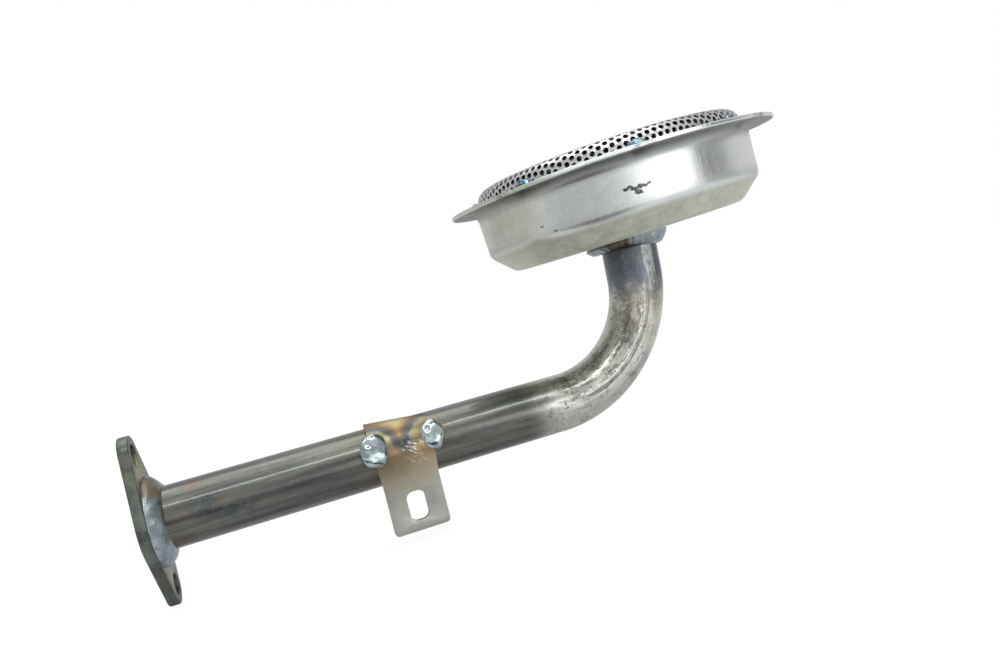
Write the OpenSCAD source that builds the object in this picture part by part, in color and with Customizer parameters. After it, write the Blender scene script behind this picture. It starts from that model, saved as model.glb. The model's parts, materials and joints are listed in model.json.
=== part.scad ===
// Oil pickup tube for an engine sump: a bent suction tube with a bolt-on flange,
// a support bracket and a pressed cup that carries a perforated, domed screen.
// Millimetres. The flange's mating face lies in the plane x = 0 with the tube's axis
// along +X. The tube bends up to +Z, where the cup opens.

/* [Tube] */
// Outside diameter of the tube
tube_od = 19.05; // [14:0.05:28]
// Wall thickness of the tube
tube_wall = 1.65; // [0.8:0.05:3]
// Straight run from the mating face to the start of the bend
tube_run = 133; // [100:1:200]
// Centreline radius of the bend
bend_radius = 38.1; // [30:0.1:60]
// Angle through which the tube is bent
bend_angle = 87; // [70:1:95]
// Straight neck from the end of the bend to the underside of the cup
neck_length = 13; // [8:0.5:40]
// How far the end of the tube stands up inside the cup
tube_stand = 2; // [0.5:0.5:6]

/* [Flange] */
// Thickness of the flange plate
flange_thickness = 3.2; // [2:0.1:8]
// Distance between the two bolt holes
bolt_spacing = 43; // [38:0.5:70]
// Diameter of each bolt hole
bolt_hole_d = 6.8; // [5:0.1:9]
// Radius of the rounded ends, around the bolt holes
flange_end_r = 6; // [5.5:0.1:12]
// Radius of the rounded middle, around the tube
flange_middle_r = 14.2; // [14:0.1:22]
// Turn of the bolt holes about the tube, out of the plane of the bend
flange_turn = 14; // [-45:1:45]

/* [Bracket] */
// Thickness of the bracket's strip
bracket_sheet = 1.6; // [1:0.1:3]
// Distance from the mating face to the middle of the bracket
bracket_at = 77.6; // [40:0.2:110]
// Width of the strip where it wraps over the tube
strap_width = 19; // [14:0.5:30]
// Width of the flat tab
tab_width = 17.6; // [12:0.2:28]
// Angle over which the strip follows the tube
strap_wrap = 70; // [60:1:160]
// Height over which the strip narrows to the tab
tab_taper = 8; // [2:0.5:10]
// Lower edge of the tab, below the tube's axis
tab_drop = 24; // [20:0.2:50]
// Radius of the tab's lower corners
tab_corner = 1.4; // [0.5:0.1:4]
// Width of the slot
slot_width = 5.8; // [4:0.1:9]
// Overall length of the slot
slot_length = 9; // [6:0.1:14]
// Radius of the slot's corners
slot_corner = 2.1; // [0.5:0.1:2.4]
// Middle of the slot, below the tube's axis
slot_drop = 16.3; // [14:0.1:40]

/* [Cup] */
// Outside diameter of the brim
brim_d = 112; // [104:0.5:140]
// Outside diameter of the wall, at its top
cup_top_d = 95.2; // [90:0.2:100]
// Outside diameter of the wall, at the chamfer
cup_low_d = 94.4; // [86:0.2:95]
// Outside diameter of the flat base
cup_base_d = 79.6; // [50:0.2:84]
// Height from the underside of the base to the top of the brim
cup_depth = 24; // [18:0.5:45]
// Height of the chamfer between base and wall
chamfer_height = 7; // [4:0.2:12]
// Thickness of the pressed sheet
cup_sheet = 1.2; // [0.6:0.1:2]
// Radius under the brim
brim_fillet = 3; // [1:0.1:4]
// Outside radius of the cup's two lower edges
cup_edge_r = 4; // [2.5:0.1:6]
// Lean of the cup's axis towards the flange
cup_tilt = 4; // [-10:0.5:15]

/* [Screen] */
// Thickness of the perforated sheet
screen_sheet = 0.9; // [0.5:0.1:1.5]
// Depth of the screen's skirt below the top of the brim
skirt_depth = 3; // [1:0.2:6]
// Height of the straight side above the top of the brim
screen_side = 1.6; // [0.5:0.1:6]
// Outside radius of the shoulder
shoulder_r = 4; // [2:0.1:8]
// Rise of the dome above the shoulder
dome_rise = 2; // [1:0.1:8]
// Distance between neighbouring holes
hole_pitch = 5.2; // [4.4:0.1:10]
// Diameter of each hole
hole_d = 3.4; // [2:0.1:4]

/* [Welds] */
// Leg of the weld between flange and tube
flange_weld_leg = 4.2; // [2:0.1:4.4]
// Leg of the weld between cup and tube
cup_weld_leg = 4.2; // [2:0.1:7]
// Width of each weld nugget on the strap
nugget_d = 7.2; // [5:0.1:9]
// Height of each nugget above the strap
nugget_height = 1.3; // [0.6:0.1:3]
// Place of the nuggets around the tube, above its near side
nugget_angle = 18; // [5:1:40]
// Number of tack welds around the screen
tack_count = 8; // [3:1:12]
// Diameter of each tack weld
tack_d = 4.6; // [3:0.1:6]
// Turn of the first tack weld from the cup's near side
tack_turn = 32; // [0:1:45]

/* [Fits] */
// Gap between pieces that slide into or over each other
slip_fit = 0.1; // [0.05:0.01:0.3]
// Gap between a weld and the pieces it joins
weld_fit = 0.05; // [0.02:0.01:0.1]

/* [Hidden] */
$fn = 96;

// Length by which a cutter passes through a face
cut_past = 1;
// Depth to which the neck is sunk in the bend
neck_overlap = 0.5;
// Difference in diameter between the bend and the neck
neck_step = 0.02;
// Extra radius by which a rounding arc crosses the lines that it joins
arc_lap = 0.002;
// Size of a corner's patch against the area that the rounding takes
patch_scale = 1.1;
// Width over which the dome runs on inside the shoulder
dome_lap = 0.3;
// How far a bead's arc is struck behind its corner, in legs
bead_flatness = 0.35;
// Height of the tack welds' centres above the brim
tack_lift = 0.7;

tube_r = tube_od / 2;
tube_bore = tube_od - 2 * tube_wall;
strap_in_r = tube_r + slip_fit;
strap_out_r = strap_in_r + bracket_sheet;

// Angle between the neck and the cup's axis
neck_lean = 90 - bend_angle + cup_tilt;

// Points of the cup's section, as [radius, height above the underside of its base]
brim_r = brim_d / 2;
cup_foot = [0, 0];
cup_base = [cup_base_d / 2, 0];
cup_low = [cup_low_d / 2, chamfer_height];
cup_neck = [cup_top_d / 2, cup_depth - cup_sheet];
brim_under = [brim_r, cup_depth - cup_sheet];
brim_top = [brim_r, cup_depth];
inner_foot = [0, cup_sheet];
inner_base = inset(cup_base, cup_foot, cup_low, cup_sheet);
inner_low = inset(cup_low, cup_base, cup_neck, cup_sheet);
inner_mouth = along(inner_low, cup_neck - cup_low, cup_depth);

// The screen's skirt drops into the cup's mouth
screen_r = along(inner_low, cup_neck - cup_low, cup_depth - skirt_depth)[0] - slip_fit;
dome_r = screen_r - shoulder_r;

function unit(v) = v / norm(v);

// Half the angle at a corner between its two neighbours
function half_angle(corner, before, after) =
    acos(unit(before - corner) * unit(after - corner)) / 2;

// Point on the bisector of a corner, at a distance d from both of its sides
function inset(corner, before, after, d) =
    corner + unit(unit(before - corner) + unit(after - corner))
    * d / sin(half_angle(corner, before, after));

// Point at a given height on the line through p with direction v
function along(p, v, height) = p + v * (height - p[1]) / v[1];

// Radius of the sphere whose cap has the given half width and rise
function cap_radius(half_width, rise) = (half_width * half_width + rise * rise) / (2 * rise);

// Area between a corner and its rounding arc, with some spare beyond the corner
module corner_patch(corner, before, after, r) {
    reach = r / tan(half_angle(corner, before, after));
    centre = inset(corner, before, after, r);
    start = corner + unit(before - corner) * reach;
    end = corner + unit(after - corner) * reach;
    difference() {
        polygon([
            centre,
            centre + patch_scale * (end - centre),
            centre + patch_scale * (corner - centre),
            centre + patch_scale * (start - centre)
        ]);
        translate(centre)
            circle(r + arc_lap);
    }
}

// Turns a shape drawn around +Z so that it lies around the tube's axis, +X
module along_tube() {
    rotate([0, 90, 0])
        children();
}

// Frame at the end of the bend, with +Z along the neck
module at_neck() {
    translate([
        tube_run + bend_radius * sin(bend_angle),
        0,
        bend_radius * (1 - cos(bend_angle))
    ])
        rotate([0, 90 - bend_angle, 0])
            children();
}

// Frame at the underside of the cup, with +Z along the cup's axis
module at_cup() {
    at_neck()
        translate([0, 0, neck_length])
            rotate([0, -neck_lean, 0])
                children();
}

// Solid rod that follows the tube's path, longer than it by extra at both ends.
// The neck starts inside the bend, a hair thinner, so that the two meet in a clean edge.
module tube_path(d, extra) {
    along_tube()
        translate([0, 0, -extra])
            cylinder(d = d, h = tube_run + extra);
    translate([tube_run, 0, bend_radius])
        rotate([0, 90, 0])
            rotate([90, 0, 0])
                rotate_extrude(angle = bend_angle)
                    translate([bend_radius, 0])
                        circle(d = d);
    at_neck()
        translate([0, 0, -neck_overlap])
            cylinder(d = d - neck_step, h = neck_overlap + neck_length + cup_sheet + tube_stand + extra);
}

module pickup_tube() {
    color("dimgray")
        difference() {
            tube_path(tube_od, 0);
            tube_path(tube_bore, cut_past);
        }
}

// Rounded diamond: three circles joined by their common tangents
module flange_outline() {
    half = bolt_spacing / 2;
    slant = asin((flange_middle_r - flange_end_r) / half);
    waist = flange_middle_r * [cos(slant), sin(slant)];
    tip = [flange_end_r * cos(slant), half + flange_end_r * sin(slant)];
    circle(flange_middle_r + arc_lap);
    for (side = [-1, 1])
        translate([0, side * half])
            circle(flange_end_r + arc_lap);
    polygon([
        waist, tip, [-tip[0], tip[1]], [-waist[0], waist[1]],
        -waist, -tip, [tip[0], -tip[1]], [waist[0], -waist[1]]
    ]);
}

module mounting_flange() {
    half = bolt_spacing / 2;
    color("slategray")
        rotate([flange_turn, 0, 0])
            rotate([90, 0, 90])
                difference() {
                    linear_extrude(flange_thickness)
                        flange_outline();
                    translate([0, 0, -cut_past])
                        cylinder(r = tube_r + slip_fit, h = flange_thickness + 2 * cut_past);
                    for (side = [-1, 1])
                        translate([0, side * half, -cut_past])
                            cylinder(d = bolt_hole_d, h = flange_thickness + 2 * cut_past);
                }
}

// Section of a slightly domed fillet weld with its corner at the origin,
// carried on below the corner by sink
module bead_section(leg, sink) {
    back = bead_flatness * leg;
    intersection() {
        translate([0, -sink])
            square(2 * leg + sink);
        translate([-back, -back])
            circle(norm([leg + back, back]));
    }
}

module flange_weld() {
    color("lightsteelblue")
        along_tube()
            rotate_extrude()
                translate([tube_r + weld_fit, flange_thickness + weld_fit])
                    bead_section(flange_weld_leg, 0);
}

// Strip that follows the tube from its near side over the top
module strap() {
    along_tube()
        translate([0, 0, bracket_at - strap_width / 2])
            mirror([1, 0, 0])
                rotate([0, 0, 270])
                    rotate_extrude(angle = strap_wrap)
                        translate([strap_in_r, 0])
                            square([bracket_sheet, strap_width]);
}

// Outline of the flat tab, with the tube's axis along the x axis
module tab_outline() {
    foot = -tab_drop;
    corner_left = [-tab_width / 2, foot];
    corner_right = [tab_width / 2, foot];
    side_left = [-tab_width / 2, -tab_taper];
    side_right = [tab_width / 2, -tab_taper];
    difference() {
        polygon([
            [-strap_width / 2, 0], side_left, corner_left,
            corner_right, side_right, [strap_width / 2, 0]
        ]);
        corner_patch(corner_left, side_left, corner_right, tab_corner);
        corner_patch(corner_right, corner_left, side_right, tab_corner);
    }
}

module slot_outline() {
    across = slot_width / 2 - slot_corner;
    up = slot_length / 2 - slot_corner;
    translate([0, -slot_drop]) {
        square([slot_width, 2 * up], center = true);
        square([2 * across, slot_length], center = true);
        for (x = [-across, across])
            for (y = [-up, up])
                translate([x, y])
                    circle(slot_corner + arc_lap);
    }
}

// Flat tab that hangs from the strap on the tube's near side
module tab() {
    translate([bracket_at, -strap_in_r, 0])
        rotate([90, 0, 0])
            linear_extrude(bracket_sheet)
                difference() {
                    tab_outline();
                    slot_outline();
                }
}

module support_bracket() {
    color("tan")
        union() {
            strap();
            tab();
        }
}

// Room for the strap and tab under a nugget, from the tube's axis to their outer faces
module bracket_room() {
    outer_r = strap_out_r + weld_fit;
    along_tube()
        linear_extrude(strap_width + 2 * weld_fit, center = true) {
            circle(outer_r + arc_lap);
            translate([0, -outer_r])
                square([tab_drop, outer_r]);
        }
}

// Weld nugget over one edge of the strap, on the side given as -1 or 1
module nugget(side) {
    ball_r = cap_radius(nugget_d / 2, nugget_height);
    translate([bracket_at, 0, 0])
        difference() {
            rotate([-nugget_angle, 0, 0])
                translate([side * strap_width / 2, ball_r - strap_out_r - nugget_height, 0])
                    sphere(ball_r);
            along_tube()
                cylinder(r = tube_r + weld_fit, h = 2 * strap_width, center = true);
            bracket_room();
        }
}

module bracket_weld_left() {
    color("gainsboro")
        nugget(-1);
}

module bracket_weld_right() {
    color("gainsboro")
        nugget(1);
}

// Outside of the cup's section, filled to the axis
module cup_outside() {
    difference() {
        polygon([cup_foot, cup_base, cup_low, cup_neck, brim_under, brim_top, [0, cup_depth]]);
        corner_patch(cup_base, cup_foot, cup_low, cup_edge_r);
        corner_patch(cup_low, cup_base, cup_neck, cup_edge_r);
    }
    corner_patch(cup_neck, cup_low, brim_under, brim_fillet);
}

// Space inside the cup, with the mouth's rounding
module cup_inside() {
    edge_r = cup_edge_r - cup_sheet;
    above = along(inner_low, cup_neck - cup_low, cup_depth + cut_past);
    difference() {
        polygon([inner_foot, inner_base, inner_low, above, [0, cup_depth + cut_past]]);
        corner_patch(inner_base, inner_foot, inner_low, edge_r);
        corner_patch(inner_low, inner_base, above, edge_r);
    }
    mouth_patch();
}

// Room between the cup's rounded mouth and a sharp corner
module mouth_patch() {
    corner_patch(inner_mouth, inner_low, brim_top, brim_fillet + cup_sheet);
}

module pickup_cup() {
    hole_r = tube_r + slip_fit;
    hole_half = hole_r * tan(abs(neck_lean)) + cup_sheet + cut_past;
    color("silver")
        at_cup()
            difference() {
                rotate_extrude()
                    difference() {
                        cup_outside();
                        cup_inside();
                    }
                rotate([0, neck_lean, 0])
                    cylinder(r = hole_r, h = 2 * hole_half, center = true);
            }
}

// Fillet around the neck, trimmed where it meets the sloping base of the cup
module cup_weld() {
    bead_r = tube_r + cup_weld_leg;
    trim = bead_r * tan(abs(neck_lean));
    color("lightsteelblue")
        difference() {
            at_neck()
                translate([0, 0, neck_length])
                    rotate_extrude()
                        translate([tube_r + weld_fit, 0])
                            mirror([0, 1])
                                bead_section(cup_weld_leg, trim + cut_past);
            at_cup()
                translate([0, 0, -weld_fit])
                    cylinder(r = brim_r, h = cup_depth);
        }
}

// Section of a dome on a straight side, filled to the axis, for one face of the sheet
module dome_section(side_r, edge_r, rise) {
    top = screen_side + edge_r;
    ball_r = cap_radius(dome_r, rise);
    translate([0, -skirt_depth])
        square([side_r, skirt_depth + screen_side]);
    translate([dome_r, screen_side])
        circle(edge_r + arc_lap);
    intersection() {
        translate([0, top + rise - ball_r])
            circle(ball_r, $fn = 256);
        square([dome_r + dome_lap, top + 2 * rise]);
    }
}

// Staggered rows of hole centres that keep their holes on the dome
function hole_centres() =
    let (
        reach = dome_r - hole_d / 2,
        row_gap = hole_pitch * sin(60),
        rows = floor(reach / row_gap),
        count = ceil(reach / hole_pitch)
    )
    [
        for (row = [-rows:rows])
            for (i = [-count:count])
                let (p = [(i + abs(row % 2) / 2) * hole_pitch, row * row_gap])
                    if (norm(p) <= reach) p
    ];

module screen() {
    top = screen_side + shoulder_r + dome_rise;
    color("lightgray")
        at_cup()
            translate([0, 0, cup_depth])
                difference() {
                    rotate_extrude()
                        difference() {
                            dome_section(screen_r, shoulder_r, dome_rise);
                            dome_section(screen_r - screen_sheet, shoulder_r - screen_sheet, dome_rise);
                            translate([0, -skirt_depth - cut_past])
                                square([screen_r - screen_sheet, skirt_depth + cut_past]);
                        }
                    for (p = hole_centres())
                        translate([p[0], p[1], screen_side])
                            cylinder(d = hole_d, h = top);
                }
}

// Tack welds in the groove between the screen's side and the cup's mouth
module screen_tacks() {
    color("steelblue")
        at_cup()
            intersection() {
                for (i = [0:tack_count - 1])
                    rotate([0, 0, -90 + tack_turn + i * 360 / tack_count])
                        translate([screen_r + tack_d / 4, 0, cup_depth + tack_lift])
                            sphere(d = tack_d);
                rotate_extrude()
                    difference() {
                        union() {
                            translate([0, cup_depth + weld_fit])
                                square([brim_r, tack_d]);
                            translate([0, weld_fit])
                                mouth_patch();
                        }
                        square([screen_r + weld_fit, cup_depth + 2 * tack_d]);
                    }
            }
}

mounting_flange();
pickup_tube();
flange_weld();
support_bracket();
bracket_weld_left();
bracket_weld_right();
pickup_cup();
cup_weld();
screen();
screen_tacks();
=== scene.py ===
import json
import math

import bmesh
import bpy
from bpy.props import FloatProperty, FloatVectorProperty, IntProperty, PointerProperty
from mathutils import Matrix, Vector, noise

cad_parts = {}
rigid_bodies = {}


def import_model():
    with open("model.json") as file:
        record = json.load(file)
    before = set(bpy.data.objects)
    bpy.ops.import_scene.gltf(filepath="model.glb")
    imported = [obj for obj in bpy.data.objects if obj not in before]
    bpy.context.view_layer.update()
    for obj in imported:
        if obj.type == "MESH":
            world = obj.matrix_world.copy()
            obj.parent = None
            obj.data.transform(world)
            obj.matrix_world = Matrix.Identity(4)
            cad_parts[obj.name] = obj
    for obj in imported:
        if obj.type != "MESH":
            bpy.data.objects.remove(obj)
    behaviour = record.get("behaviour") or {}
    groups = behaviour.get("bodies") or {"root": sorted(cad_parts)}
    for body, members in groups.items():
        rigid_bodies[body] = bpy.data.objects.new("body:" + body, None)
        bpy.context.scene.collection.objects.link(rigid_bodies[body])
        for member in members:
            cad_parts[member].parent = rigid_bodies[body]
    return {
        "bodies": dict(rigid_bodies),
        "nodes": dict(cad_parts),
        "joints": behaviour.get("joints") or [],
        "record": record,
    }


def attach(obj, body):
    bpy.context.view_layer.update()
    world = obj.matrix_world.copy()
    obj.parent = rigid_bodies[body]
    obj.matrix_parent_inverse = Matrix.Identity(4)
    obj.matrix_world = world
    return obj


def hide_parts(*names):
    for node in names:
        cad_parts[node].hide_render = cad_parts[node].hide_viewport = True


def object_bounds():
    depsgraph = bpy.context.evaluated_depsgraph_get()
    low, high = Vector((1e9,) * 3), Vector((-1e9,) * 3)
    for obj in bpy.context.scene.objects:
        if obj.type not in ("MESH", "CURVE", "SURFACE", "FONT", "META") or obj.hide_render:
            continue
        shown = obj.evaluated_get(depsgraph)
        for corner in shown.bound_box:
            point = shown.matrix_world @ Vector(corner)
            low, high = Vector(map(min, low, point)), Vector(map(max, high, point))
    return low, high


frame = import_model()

bl_info = {
    "name": "Oil pickup tube",
    "version": (1, 0, 0),
    "blender": (4, 5, 0),
    "location": "View3D > Sidebar > Pickup",
    "description": "Dresses the pickup tube, its welds, cup and perforated screen",
    "category": "Object",
}

CAD_BOX = [list(corner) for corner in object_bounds()]
MM = 0.001

# Clearances between pieces that slip together, of the tube in the cup, and under weld metal
SLIP_FIT, CUP_FIT, WELD_FIT = 0.1 * MM, 0.25 * MM, 0.05 * MM

# Distances within which points are merged: of a solid, of a drawn line, of the screen's cells
DOUBLES, LINE_DOUBLES, CELL_DOUBLES = 1e-6, 1e-7, 1e-5

# Parts into which lengths and arcs are divided
RUN_STEPS, BEND_STEPS, NECK_STEPS = 32, 48, 6
FLANGE_SIDE_STEPS, FLANGE_END_STEPS, STRAP_STEPS = 12, 24, 40
TUBE_STEPS, HOLE_STEPS, CUP_STEPS, FLANGE_BEAD_STEPS, CUP_BEAD_STEPS = 96, 72, 192, 160, 200

# Rows of points down the bracket's tab, below the tube's axis
TAB_ROWS = [drop * MM for drop in (2, 4, 6, 8, 12, 16, 20)]

# Radius of the edges of the brim, and widths of the softened edges of flange, tube and bracket
BRIM_EDGE, FLANGE_EDGE, TUBE_EDGE, BRACKET_EDGE = 0.3 * MM, 0.45 * MM, 0.3 * MM, 0.22 * MM

# Share by which the bend is pressed oval, and rise of the brim's waves
BEND_OVAL, BRIM_WAVE = 0.06, 0.22 * MM

# Half axes of a tack weld across, along and up, and how far it stands out from the screen and above the brim
TACK_SIZE, TACK_OUT, TACK_UP = (1.45 * MM, 2.8 * MM, 1.5 * MM), 0.75 * MM, 0.9 * MM

# Angle of the nuggets above the tube's axis, and depth by which they sink in
NUGGET_LIFT, NUGGET_SINK = math.radians(18), 0.35 * MM

# Share by which the strap's far edge slants, and rise of its loose corner
STRAP_SLANT, STRAP_LIFT = 0.14, 0.5 * MM

# Distances out from the tube and up from the plate over which the lumps of a weld bead begin
BEAD_OUT, BEAD_UP = 1.5 * MM, 1 * MM

# Gap between the part and the floor
FLOOR_GAP = 0.5 * MM

# Exchanges the X and Y axes
SWAP_XY = Matrix(((0, 1, 0, 0), (1, 0, 0, 0), (0, 0, 1, 0), (0, 0, 0, 1)))


def shade(red, green, blue):
    """Linear colour from display values of 0 to 255."""
    def linear(value):
        value /= 255
        return value / 12.92 if value <= 0.04045 else ((value + 0.055) / 1.055) ** 2.4
    return (linear(red), linear(green), linear(blue))


def length(name, description, millimetres):
    return FloatProperty(name=name, description=description, default=millimetres * MM,
                         unit="LENGTH", precision=5)


def angle_size(name, description, degrees):
    return FloatProperty(name=name, description=description, default=math.radians(degrees),
                         subtype="ANGLE")


def tint(name, description, red, green, blue):
    return FloatVectorProperty(name=name, description=description, size=3, subtype="COLOR",
                               min=0, max=1, default=shade(red, green, blue))


class PickupSizes(bpy.types.PropertyGroup):
    """Sizes of the pickup; the cup's lean, the fine holes and the nuggets are the scene's own"""
    tube_r: length("Tube radius", "Outside radius of the tube", 9.525)
    tube_wall: length("Tube wall", "Wall thickness of the tube", 1.65)
    tube_run: length("Straight run", "From the mating face to the start of the bend", 133)
    bend_r: length("Bend radius", "Centreline radius of the bend", 38.1)
    bend_angle: angle_size("Bend angle", "Angle of the bend", 87)
    neck: length("Neck", "From the end of the bend to the underside of the cup", 13)
    tube_stand: length("Tube end", "Height of the tube's end above the underside of the cup", 3.2)
    plate: length("Flange thickness", "Thickness of the flange plate", 3.2)
    bolt_spacing: length("Bolt spacing", "Distance between the two bolt holes", 43)
    bolt_hole_r: length("Bolt hole", "Radius of each bolt hole", 3.4)
    flange_end_r: length("Flange end", "Radius of the flange's ends", 6)
    flange_middle_r: length("Flange middle", "Radius of the flange around the tube", 14.2)
    flange_turn: angle_size("Flange turn", "Turn of the bolt holes about the tube", 14)
    strip: length("Strip", "Thickness of the bracket's strip", 1.6)
    bracket_at: length("Bracket place", "From the mating face to the bracket's middle", 77.6)
    strap_width: length("Strap width", "Width of the strip over the tube", 19)
    tab_width: length("Tab width", "Width of the flat tab", 17.6)
    strap_wrap: angle_size("Strap wrap", "Angle over which the strip follows the tube", 70)
    tab_taper: length("Tab taper", "Height over which the strip narrows", 8)
    tab_drop: length("Tab drop", "Lower edge of the tab below the tube's axis", 24)
    tab_corner: length("Tab corner", "Radius of the tab's corners", 1.4)
    slot_width: length("Slot width", "Width of the slot", 5.8)
    slot_length: length("Slot length", "Overall length of the slot", 9)
    slot_corner: length("Slot corner", "Radius of the slot's corners", 2.1)
    slot_drop: length("Slot drop", "Middle of the slot below the tube's axis", 16.3)
    brim_r: length("Brim radius", "Outside radius of the brim", 56)
    cup_top_r: length("Cup top", "Outside radius of the wall at its top", 47.6)
    cup_low_r: length("Cup low", "Outside radius of the wall at the chamfer", 47.2)
    cup_base_r: length("Cup base", "Radius of the flat base", 39.8)
    cup_depth: length("Cup depth", "From the underside of the base to the brim", 24)
    chamfer: length("Chamfer", "Height of the chamfer", 7)
    cup_sheet: length("Cup sheet", "Thickness of the pressed sheet", 1.2)
    brim_fillet: length("Brim fillet", "Radius under the brim", 3)
    cup_edge: length("Cup edge", "Outside radius of the cup's lower edges", 4)
    cup_tilt: angle_size("Cup tilt", "Lean of the cup towards the flange", 4)
    cup_lean: angle_size("Cup lean", "Lean of the cup to the bracket's side, as it was welded", 1.2)
    screen_r: length("Screen radius", "Outside radius of the screen's side", 46.2)
    screen_sheet: length("Screen sheet", "Thickness of the perforated sheet", 0.9)
    skirt: length("Skirt", "Depth of the screen below the brim", 3)
    screen_side: length("Screen side", "Height of the screen's side above the brim", 1.6)
    shoulder_r: length("Shoulder", "Radius of the screen's shoulder", 4)
    dome_rise: length("Dome rise", "Rise of the dome above the shoulder", 2)
    hole_pitch: length("Hole pitch", "Distance between neighbouring holes", 2.4)
    hole_r: length("Hole radius", "Radius of each hole", 0.83)
    weld_leg: length("Weld leg", "Leg of the two fillet welds", 4.2)
    nugget_r: length("Nugget radius", "Half width of each weld nugget", 4.7)
    nugget_rise: length("Nugget rise", "Height of each nugget above the strap", 1.2)
    tack_count: IntProperty(name="Tacks", description="Number of tack welds around the screen", default=8)
    tack_turn: angle_size("Tack turn", "Turn of the first tack weld", 32)


class PickupColours(bpy.types.PropertyGroup):
    """Colours of the bare and heated steel, and the painted shade inside cup and screen"""
    mill: tint("Mill finish", "Dark drawn tube", 105, 108, 100)
    mill_dark: tint("Mill shadow", "Darkest streaks of the tube", 70, 73, 72)
    bend_bare: tint("Worn bend", "Paler steel where the die rubbed the bend", 206, 206, 197)
    scuff: tint("Scuff", "Dark die marks on the bend", 52, 52, 46)
    plate: tint("Plate", "Flange plate", 104, 110, 103)
    sheet: tint("Tab sheet", "Plain sheet of the bracket", 164, 164, 157)
    bright: tint("Bright sheet", "Pressed sheet of cup and screen", 228, 232, 230)
    frost: tint("Frosted sheet", "Dull sheet of the cup's chamfer and base", 196, 198, 182)
    # Painted shade: dark colour laid on the inside of cup and screen, where shade falls
    inside_shade: tint("Inside shade", "Dark inside of cup and screen", 34, 34, 30)
    bead: tint("Bead", "Weld beads", 162, 173, 178)
    nugget: tint("Nugget", "Shiny weld nuggets", 176, 190, 193)
    straw: tint("Straw", "Lightest heat tint", 160, 149, 108)
    brown: tint("Brown", "Heat tint after straw", 138, 113, 80)
    olive: tint("Olive", "Yellow-green heat tint close to the nuggets", 142, 146, 112)
    purple: tint("Purple", "Heat tint between brown and blue", 92, 84, 92)
    blue: tint("Blue", "Strongest heat tint", 88, 100, 116)
    cyan: tint("Cyan", "Heat tint past blue, on the tack welds", 104, 160, 186)
    rust: tint("Rust", "Rust spots", 118, 92, 74)


def sizes():
    return bpy.context.scene.pickup_sizes


def colours():
    return bpy.context.scene.pickup_colours


# Modelling helpers

def deselect():
    bpy.ops.object.select_all(action="DESELECT")


def select(*pieces):
    """Selects only these objects and makes the first one active."""
    deselect()
    for piece in pieces:
        piece.select_set(True)
    bpy.context.view_layer.objects.active = pieces[0]


def select_mesh():
    bpy.ops.mesh.select_all(action="SELECT")


def extrude(way):
    bpy.ops.mesh.extrude_region_move(TRANSFORM_OT_translate={"value": way})


def edit_mode():
    bpy.ops.object.mode_set(mode="EDIT")


def object_mode():
    bpy.ops.object.mode_set(mode="OBJECT")


def made(name):
    piece = bpy.context.object
    piece.name = name
    piece.data.name = name
    return piece


def apply_place(piece, matrix=None):
    """Puts a piece in its place and moves that place into its mesh."""
    select(piece)
    if matrix is not None:
        piece.matrix_world = matrix @ piece.matrix_world
    bpy.ops.object.transform_apply(location=True, rotation=True, scale=True)


def modify(piece, kind, **settings):
    """Adds a modifier with the given settings and applies it."""
    select(piece)
    modifier = piece.modifiers.new(kind.title(), kind)
    for key, value in settings.items():
        setattr(modifier, key, value)
    bpy.ops.object.modifier_apply(modifier=modifier.name)


def cut(piece, cutter):
    """Cuts one piece out of another and deletes the cutter."""
    modify(piece, "BOOLEAN", operation="DIFFERENCE", object=cutter, solver="EXACT")
    bpy.data.objects.remove(cutter)


def bevel(piece, width, segments, degrees):
    """Softens the edges that turn by more than an angle."""
    modify(piece, "BEVEL", width=width, segments=segments, limit_method="ANGLE",
           angle_limit=math.radians(degrees))


def join(name, pieces):
    select(*pieces)
    bpy.ops.object.join()
    return made(name)


def merge(distance):
    """Merges doubles, in edit mode."""
    select_mesh()
    bpy.ops.mesh.remove_doubles(threshold=distance)


def clean_up():
    """Merges doubles and turns all faces outwards, in edit mode."""
    merge(DOUBLES)
    bpy.ops.mesh.normals_make_consistent(inside=False)


def smooth(piece, degrees=35):
    select(piece)
    bpy.ops.object.shade_smooth_by_angle(angle=math.radians(degrees))


def finish_piece(piece, node, material, degrees=35):
    """Shades a piece, gives it its finish and lets it stand for a node of the frame."""
    smooth(piece, degrees)
    piece.data.materials.clear()
    piece.data.materials.append(material)
    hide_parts(*node)
    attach(piece, "root")


def draw_line(name, points):
    """Draws a line through (x, z) points, in edit mode, one extruded vertex at a time."""
    deselect()
    bpy.ops.mesh.primitive_plane_add(size=MM)
    piece = made(name)
    edit_mode()
    bpy.ops.mesh.merge(type="CENTER")
    bpy.ops.transform.translate(value=(points[0][0], 0, points[0][1]))
    for before, after in zip(points, points[1:]):
        bpy.ops.mesh.extrude_vertices_move(
            TRANSFORM_OT_translate={"value": (after[0] - before[0], 0, after[1] - before[1])})
    return piece


def turn_section(name, points, steps):
    """Spins a closed section of (radius, height) points about the Z axis."""
    piece = draw_line(name, list(points) + [points[0]])
    merge(LINE_DOUBLES)
    select_mesh()
    bpy.ops.mesh.spin(steps=steps, angle=2 * math.pi, center=(0, 0, 0), axis=(0, 0, 1))
    clean_up()
    object_mode()
    return piece


def unit(vector):
    return vector / vector.length


def half_angle(corner, before, after):
    return (before - corner).angle(after - corner) / 2


def inset(corner, before, after, distance):
    """Point inside a corner at the same distance from both of its sides."""
    way = unit(unit(before - corner) + unit(after - corner))
    return corner + way * (distance / math.sin(half_angle(corner, before, after)))


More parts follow.
